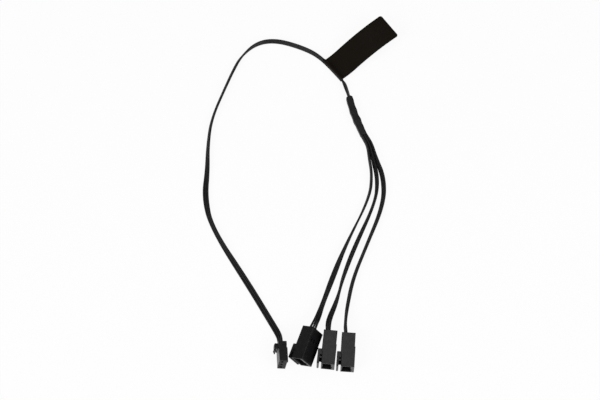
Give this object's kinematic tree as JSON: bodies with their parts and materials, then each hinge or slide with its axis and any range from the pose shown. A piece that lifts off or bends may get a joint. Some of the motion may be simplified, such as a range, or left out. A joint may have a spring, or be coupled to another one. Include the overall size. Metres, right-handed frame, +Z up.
{
  "type": "rgb splitter cable",
  "caption": "Flat splitter cable for addressable lighting: a latched plug on a long lead, a shrink-sleeved splice, and equal short leads to latched sockets.",
  "frame": {"origin": "on the floor under the middle of the box round the connectors, sleeve and label", "axes": "+Z up from the floor; -Y from the splice towards the connectors' mating faces; +X to the right of them"},
  "size_m": [0.1109, 0.2148, 0.0132],
  "materials": {
    "housing_plastic": "semi-gloss",
    "contact_metal": "tin plated",
    "lead_skin": "satin",
    "joint_metal": "soldered",
    "shrink_film": "satin",
    "label_film": "satin"
  },
  "bodies": {
    "root": {"plug_housing": "housing_plastic", "left_socket_housing": "housing_plastic", "middle_socket_housing": "housing_plastic", "right_socket_housing": "housing_plastic", "plug_contact_1": "contact_metal", "plug_contact_2": "contact_metal", "plug_contact_3": "contact_metal", "left_contact_1": "contact_metal", "left_contact_2": "contact_metal", "left_contact_3": "contact_metal", "middle_contact_1": "contact_metal", "middle_contact_2": "contact_metal", "middle_contact_3": "contact_metal", "right_contact_1": "contact_metal", "right_contact_2": "contact_metal", "right_contact_3": "contact_metal", "long_lead": "lead_skin", "left_lead": "lead_skin", "middle_lead": "lead_skin", "right_lead": "lead_skin", "splice_joint_1": "joint_metal", "splice_joint_2": "joint_metal", "splice_joint_3": "joint_metal", "joint_cover_1": "shrink_film", "joint_cover_2": "shrink_film", "joint_cover_3": "shrink_film", "splice_sleeve": "shrink_film", "flag_label": "label_film"}
  },
  "joints": []
}
